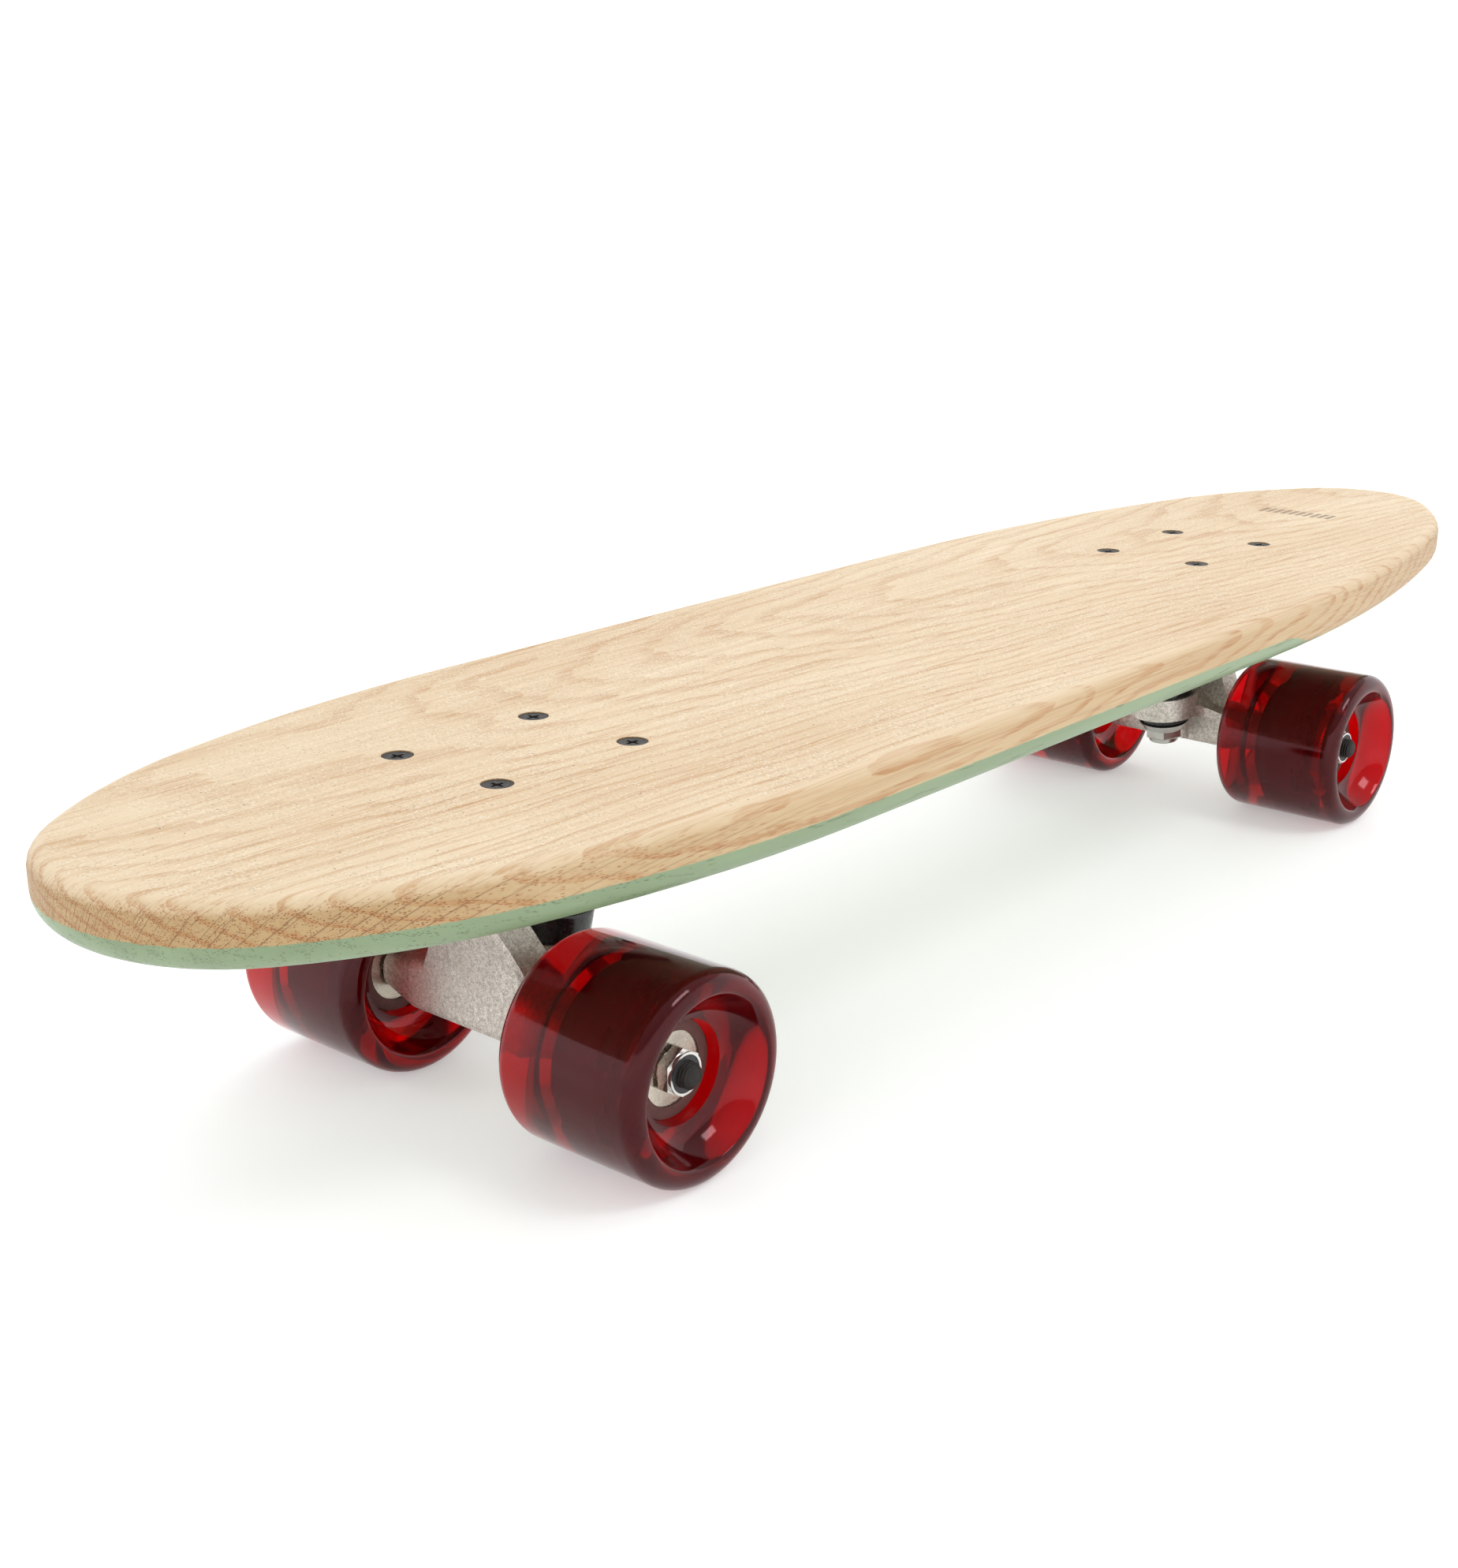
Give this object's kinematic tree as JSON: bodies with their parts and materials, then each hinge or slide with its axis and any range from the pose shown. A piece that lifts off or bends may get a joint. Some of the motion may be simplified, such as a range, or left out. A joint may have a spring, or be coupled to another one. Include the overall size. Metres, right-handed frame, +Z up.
{
  "type": "skateboard",
  "caption": "Cruiser skateboard: flat oval oak deck with painted underside, two cast trucks that lean to steer, and four soft cored wheels on ball bearings.",
  "frame": {"origin": "middle of the footprint on the ground, under the middle of the deck's length and width", "axes": "+X towards the nose along the deck, +Y to the rider's left, +Z up"},
  "size_m": [0.7278, 0.178, 0.1078],
  "materials": {
    "oak": "oiled oak top and edge, green painted underside",
    "riser": "matt black",
    "cast_aluminium": "raw cast, fine grain",
    "bushing": "matt black",
    "black_steel": "black oxide",
    "zinc_steel": "zinc plated",
    "nut_chrome": "bright plated",
    "nylon": "white nylon",
    "urethane": "translucent red, glossy",
    "core": "black nylon",
    "bearing_steel": "ground steel"
  },
  "bodies": {
    "board": {"deck": "oak", "front_deck_bolts": "black_steel", "front_deck_nuts": "zinc_steel", "front_riser_pad": "riser", "front_baseplate": "cast_aluminium", "front_pivot_cup": "bushing", "front_kingpin": "zinc_steel", "front_kingpin_nut": "zinc_steel", "front_upper_bushing": "bushing", "front_lower_bushing": "bushing", "front_kingpin_washers": "zinc_steel", "rear_deck_bolts": "black_steel", "rear_deck_nuts": "zinc_steel", "rear_riser_pad": "riser", "rear_baseplate": "cast_aluminium", "rear_pivot_cup": "bushing", "rear_kingpin": "zinc_steel", "rear_kingpin_nut": "zinc_steel", "rear_upper_bushing": "bushing", "rear_lower_bushing": "bushing", "rear_kingpin_washers": "zinc_steel"},
    "front_truck": {"front_hanger": "cast_aluminium", "front_axle": "black_steel", "front_axle_nuts": "nut_chrome", "front_axle_nut_inserts": "nylon", "front_speed_washers": "zinc_steel", "front_left_inner_races": "bearing_steel", "front_left_bearing_spacer": "zinc_steel", "front_right_inner_races": "bearing_steel", "front_right_bearing_spacer": "zinc_steel"},
    "front_left_wheel": {"front_left_tyre": "urethane", "front_left_core": "core", "front_left_outer_races": "bearing_steel", "front_left_shields": "bearing_steel"},
    "front_left_ball_set": {"front_left_balls_and_cages": "bearing_steel"},
    "front_right_wheel": {"front_right_tyre": "urethane", "front_right_core": "core", "front_right_outer_races": "bearing_steel", "front_right_shields": "bearing_steel"},
    "front_right_ball_set": {"front_right_balls_and_cages": "bearing_steel"},
    "rear_truck": {"rear_hanger": "cast_aluminium", "rear_axle": "black_steel", "rear_axle_nuts": "nut_chrome", "rear_axle_nut_inserts": "nylon", "rear_speed_washers": "zinc_steel", "rear_left_inner_races": "bearing_steel", "rear_left_bearing_spacer": "zinc_steel", "rear_right_inner_races": "bearing_steel", "rear_right_bearing_spacer": "zinc_steel"},
    "rear_left_wheel": {"rear_left_tyre": "urethane", "rear_left_core": "core", "rear_left_outer_races": "bearing_steel", "rear_left_shields": "bearing_steel"},
    "rear_left_ball_set": {"rear_left_balls_and_cages": "bearing_steel"},
    "rear_right_wheel": {"rear_right_tyre": "urethane", "rear_right_core": "core", "rear_right_outer_races": "bearing_steel", "rear_right_shields": "bearing_steel"},
    "rear_right_ball_set": {"rear_right_balls_and_cages": "bearing_steel"}
  },
  "joints": [
    {"name": "front_steer", "type": "hinge", "parent": "board", "child": "front_truck", "pos_m": [0.206, 0, 0.0429], "axis": [0.7328, 0, 0.6805], "range_deg": [-12, 12], "stiffness_Nm_per_rad": 60, "deforming": ["front_upper_bushing", "front_lower_bushing"]},
    {"name": "front_left_spin", "type": "hinge", "parent": "front_truck", "child": "front_left_wheel", "pos_m": [0.2257, 0.057, 0.0315], "axis": [0, 1, 0], "continuous": true},
    {"name": "front_left_ball_orbit", "type": "hinge", "parent": "front_truck", "child": "front_left_ball_set", "pos_m": [0.2257, 0.057, 0.0315], "axis": [0, 1, 0], "continuous": true},
    {"name": "front_right_spin", "type": "hinge", "parent": "front_truck", "child": "front_right_wheel", "pos_m": [0.2257, -0.057, 0.0315], "axis": [0, 1, 0], "continuous": true},
    {"name": "front_right_ball_orbit", "type": "hinge", "parent": "front_truck", "child": "front_right_ball_set", "pos_m": [0.2257, -0.057, 0.0315], "axis": [0, 1, 0], "continuous": true},
    {"name": "rear_steer", "type": "hinge", "parent": "board", "child": "rear_truck", "pos_m": [-0.165, 0, 0.0429], "axis": [-0.7328, 0, 0.6805], "range_deg": [-12, 12], "stiffness_Nm_per_rad": 60, "deforming": ["rear_upper_bushing", "rear_lower_bushing"]},
    {"name": "rear_left_spin", "type": "hinge", "parent": "rear_truck", "child": "rear_left_wheel", "pos_m": [-0.1847, 0.057, 0.0315], "axis": [0, 1, 0], "continuous": true},
    {"name": "rear_left_ball_orbit", "type": "hinge", "parent": "rear_truck", "child": "rear_left_ball_set", "pos_m": [-0.1847, 0.057, 0.0315], "axis": [0, 1, 0], "continuous": true},
    {"name": "rear_right_spin", "type": "hinge", "parent": "rear_truck", "child": "rear_right_wheel", "pos_m": [-0.1847, -0.057, 0.0315], "axis": [0, 1, 0], "continuous": true},
    {"name": "rear_right_ball_orbit", "type": "hinge", "parent": "rear_truck", "child": "rear_right_ball_set", "pos_m": [-0.1847, -0.057, 0.0315], "axis": [0, 1, 0], "continuous": true}
  ],
  "couplings": [
    {"joint": "front_left_ball_orbit", "follows": "front_left_spin", "ratio": 0.63},
    {"joint": "front_right_ball_orbit", "follows": "front_right_spin", "ratio": 0.63},
    {"joint": "rear_left_ball_orbit", "follows": "rear_left_spin", "ratio": 0.63},
    {"joint": "rear_right_ball_orbit", "follows": "rear_right_spin", "ratio": 0.63}
  ]
}
